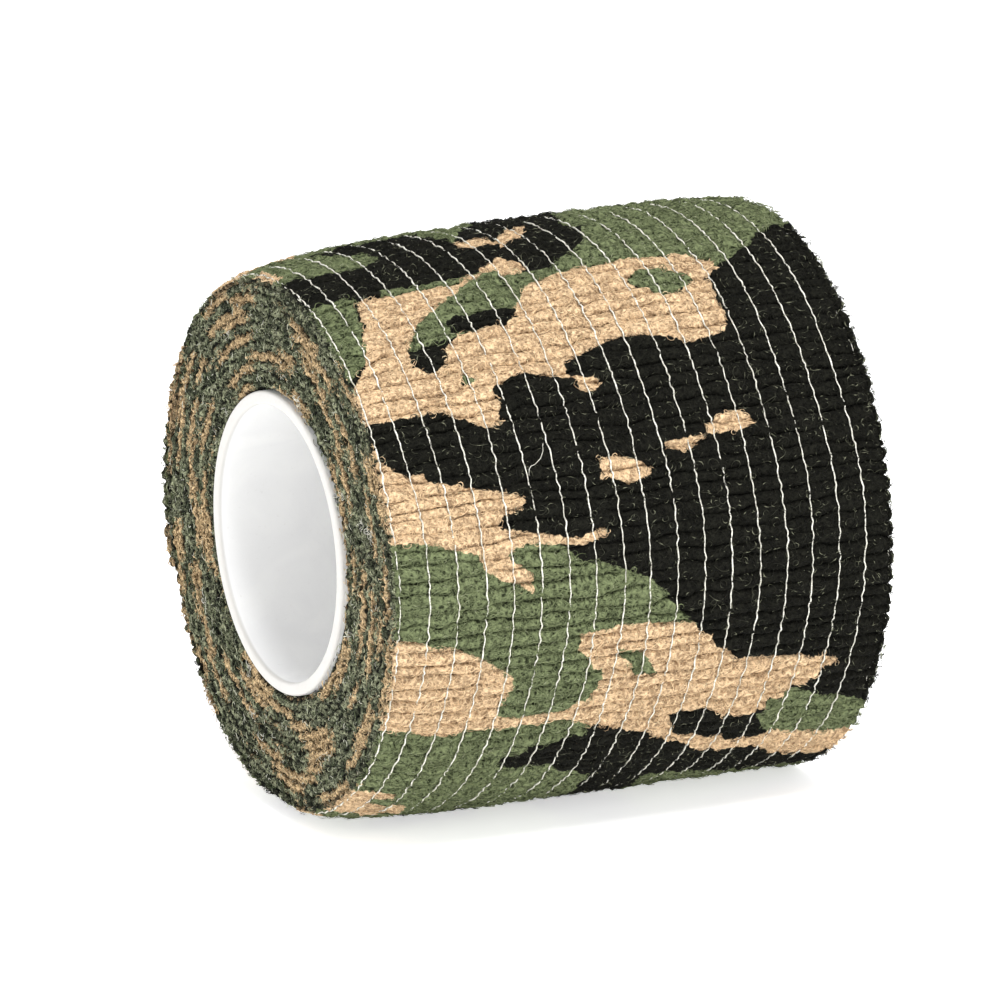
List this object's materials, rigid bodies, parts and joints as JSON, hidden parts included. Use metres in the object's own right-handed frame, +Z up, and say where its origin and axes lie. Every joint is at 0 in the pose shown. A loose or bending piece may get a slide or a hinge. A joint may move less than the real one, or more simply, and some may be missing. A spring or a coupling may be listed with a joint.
{
  "type": "cohesive tape roll",
  "caption": "Roll of self-adhering elastic wrap: a crinkled web with elastic threads, wound on a plastic core, with a peelable free end.",
  "frame": {"origin": "on the floor, under the middle of the roll, which lies on its side", "axes": "+Y along the roll's axis, from the end face seen in the picture to the far one; +Z up; the free end is on the -X side"},
  "size_m": [0.0541, 0.0504, 0.0532],
  "materials": {
    "core_plastic": "satin moulded white",
    "web": "crinkled nonwoven printed in tan, green and black",
    "thread": "white elastic yarn"
  },
  "bodies": {
    "roll": {"core_tube": "core_plastic", "wound_web": "web", "elastic_thread_01": "thread", "elastic_thread_02": "thread", "elastic_thread_03": "thread", "elastic_thread_04": "thread", "elastic_thread_05": "thread", "elastic_thread_06": "thread", "elastic_thread_07": "thread", "elastic_thread_08": "thread", "elastic_thread_09": "thread", "elastic_thread_10": "thread", "elastic_thread_11": "thread", "elastic_thread_12": "thread", "elastic_thread_13": "thread", "elastic_thread_14": "thread", "elastic_thread_15": "thread", "elastic_thread_16": "thread", "elastic_thread_17": "thread", "elastic_thread_18": "thread", "elastic_thread_19": "thread"},
    "free_end": {"free_end_web": "web", "free_end_thread_01": "thread", "free_end_thread_02": "thread", "free_end_thread_03": "thread", "free_end_thread_04": "thread", "free_end_thread_05": "thread", "free_end_thread_06": "thread", "free_end_thread_07": "thread", "free_end_thread_08": "thread", "free_end_thread_09": "thread", "free_end_thread_10": "thread", "free_end_thread_11": "thread", "free_end_thread_12": "thread", "free_end_thread_13": "thread", "free_end_thread_14": "thread", "free_end_thread_15": "thread", "free_end_thread_16": "thread", "free_end_thread_17": "thread", "free_end_thread_18": "thread", "free_end_thread_19": "thread"}
  },
  "joints": [
    {"name": "free_end_peel", "type": "hinge", "parent": "roll", "child": "free_end", "pos_m": [-0.02563, 0, 0.03542], "axis": [0, 1, 0], "range_deg": [0, 100]}
  ]
}
